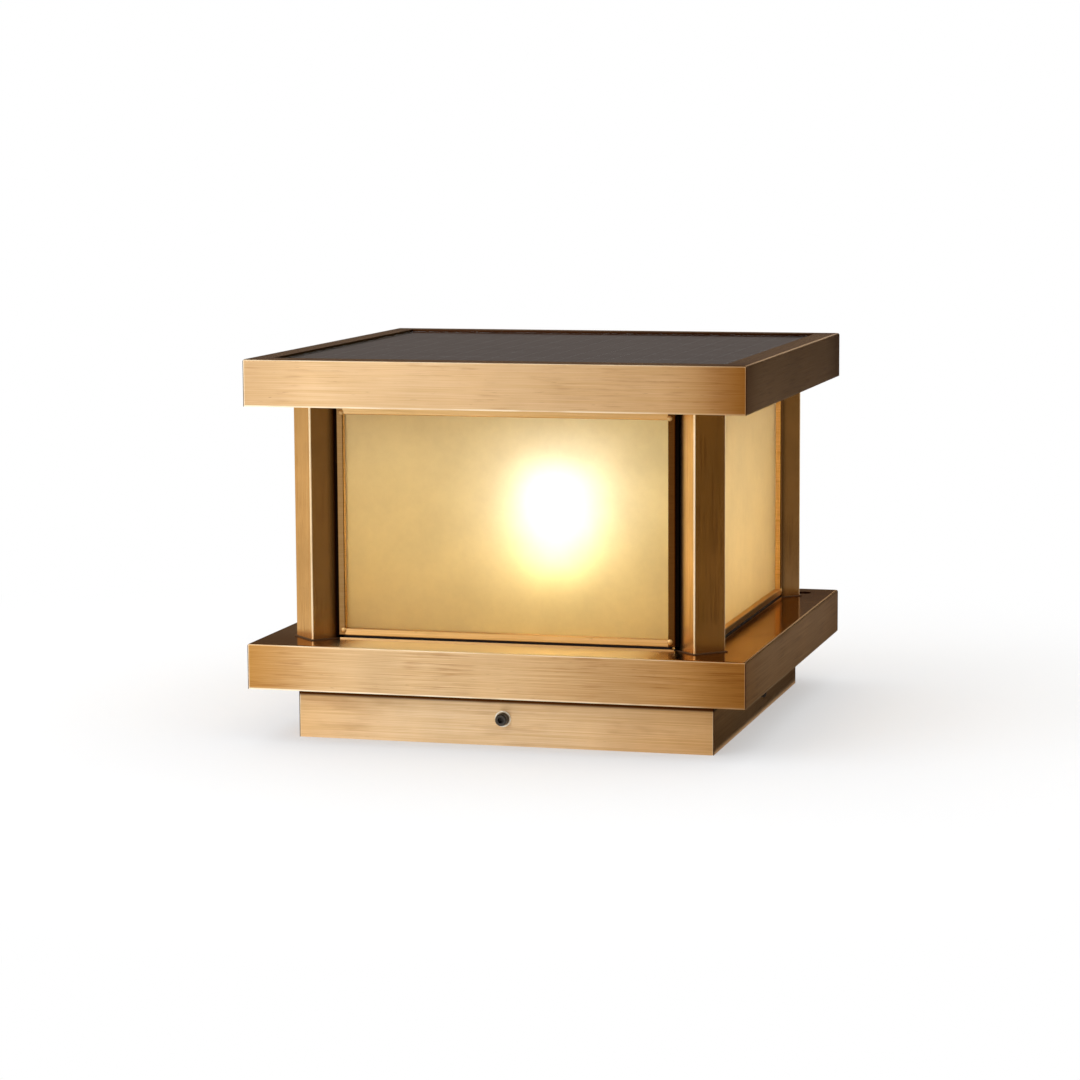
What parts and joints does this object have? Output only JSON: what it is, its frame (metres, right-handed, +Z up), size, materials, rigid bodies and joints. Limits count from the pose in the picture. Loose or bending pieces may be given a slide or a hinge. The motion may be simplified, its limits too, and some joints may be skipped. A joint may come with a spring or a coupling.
{
  "type": "deck post cap light",
  "caption": "Square brass post cap light with a solar panel lid, frosted glass panes between corner posts, a globe bulb and a collar clamped to a post plate by set screws.",
  "frame": {"origin": "middle of the footprint, on the plane where collar and mounting plate stand on the post", "axes": "+Z up; -Y is the front face in the picture; +X is the viewer's right"},
  "size_m": [0.25, 0.25, 0.1894],
  "materials": {
    "aged_brass": "brushed, antique lacquered brass sheet and tube",
    "zinc_plated_steel": "zinc plated",
    "black_oxide_steel": "black oxide",
    "nickel_plate": "nickel plated",
    "plain_brass": "bright contact brass",
    "aluminium_sheet": "mill finish",
    "frosted_glass": "amber frosted glass",
    "clear_glass": "toughened clear glass",
    "opal_glass": "opal bulb glass, lit",
    "solar_cell": "dark silicon",
    "white_backsheet": "white laminate",
    "black_rubber": "matt rubber",
    "porcelain": "glazed porcelain",
    "white_plastic": "moulded",
    "black_plastic": "moulded",
    "green_laminate": "solder-masked board",
    "cell_wrap": "shrink wrap",
    "lead_sheath": "soft PVC"
  },
  "bodies": {
    "mount": {"mounting_plate": "zinc_plated_steel"},
    "lantern": {"collar": "aged_brass", "weld_nuts": "zinc_plated_steel", "tray": "aged_brass", "post_front_left": "aged_brass", "post_front_right": "aged_brass", "post_rear_right": "aged_brass", "post_rear_left": "aged_brass", "tie_rods": "zinc_plated_steel", "tie_washers": "zinc_plated_steel", "tie_nuts": "zinc_plated_steel", "lower_gaskets": "black_rubber", "upper_gaskets": "black_rubber", "sill_strips": "aged_brass", "ceiling_plate": "aged_brass", "lid_brackets": "zinc_plated_steel", "lamp_holder": "porcelain", "holder_shell": "plain_brass", "holder_contact": "plain_brass", "holder_seal": "black_rubber", "holder_strap": "zinc_plated_steel", "strap_screws": "zinc_plated_steel", "battery_holder": "black_plastic", "battery_cells": "cell_wrap", "battery_contacts": "nickel_plate", "controller_board": "green_laminate", "board_fixings": "zinc_plated_steel", "controller_components": "black_plastic", "lamp_lead": "lead_sheath", "control_leads": "lead_sheath", "lead_clips": "white_plastic", "switch_body": "black_plastic", "switch_nut": "nickel_plate", "pane_frame_front": "aged_brass", "glass_pane_front": "frosted_glass", "pane_frame_right": "aged_brass", "glass_pane_right": "frosted_glass", "pane_frame_rear": "aged_brass", "glass_pane_rear": "frosted_glass", "pane_frame_left": "aged_brass", "glass_pane_left": "frosted_glass"},
    "lid": {"lid_shell": "aged_brass", "lid_screws": "aged_brass", "solar_glass": "clear_glass", "solar_cells": "solar_cell", "solar_backsheet": "white_backsheet", "panel_seal": "black_rubber", "panel_carrier": "aluminium_sheet", "panel_plug": "black_plastic"},
    "bulb": {"bulb_globe": "opal_glass", "bulb_housing": "white_plastic", "bulb_screw_shell": "nickel_plate", "bulb_insulator": "black_plastic", "bulb_tip": "nickel_plate", "led_board": "white_backsheet"},
    "button": {"power_button": "black_rubber"},
    "front_screw": {"set_screw_front": "black_oxide_steel"},
    "right_screw": {"set_screw_right": "black_oxide_steel"},
    "rear_screw": {"set_screw_rear": "black_oxide_steel"},
    "left_screw": {"set_screw_left": "black_oxide_steel"}
  },
  "joints": [
    {"name": "lamp_lift", "type": "slide", "parent": "mount", "child": "lantern", "axis": [0, 0, 1], "range_m": [0, 0.06]},
    {"name": "lid_lift", "type": "slide", "parent": "lantern", "child": "lid", "axis": [0, 0, 1], "range_m": [0, 0.1]},
    {"name": "bulb_unscrew", "type": "slide", "parent": "lantern", "child": "bulb", "axis": [0, 0, 1], "range_m": [0, 0.024]},
    {"name": "button_press", "type": "slide", "parent": "lantern", "child": "button", "axis": [0, 0, 1], "range_m": [0, 0.002], "stiffness_N_per_m": 300, "springref_m": -0.001},
    {"name": "front_screw_turn", "type": "slide", "parent": "lantern", "child": "front_screw", "axis": [0, -1, 0], "range_m": [0, 0.006]},
    {"name": "right_screw_turn", "type": "slide", "parent": "lantern", "child": "right_screw", "axis": [1, 0, 0], "range_m": [0, 0.006]},
    {"name": "rear_screw_turn", "type": "slide", "parent": "lantern", "child": "rear_screw", "axis": [0, 1, 0], "range_m": [0, 0.006]},
    {"name": "left_screw_turn", "type": "slide", "parent": "lantern", "child": "left_screw", "axis": [-1, 0, 0], "range_m": [0, 0.006]}
  ]
}
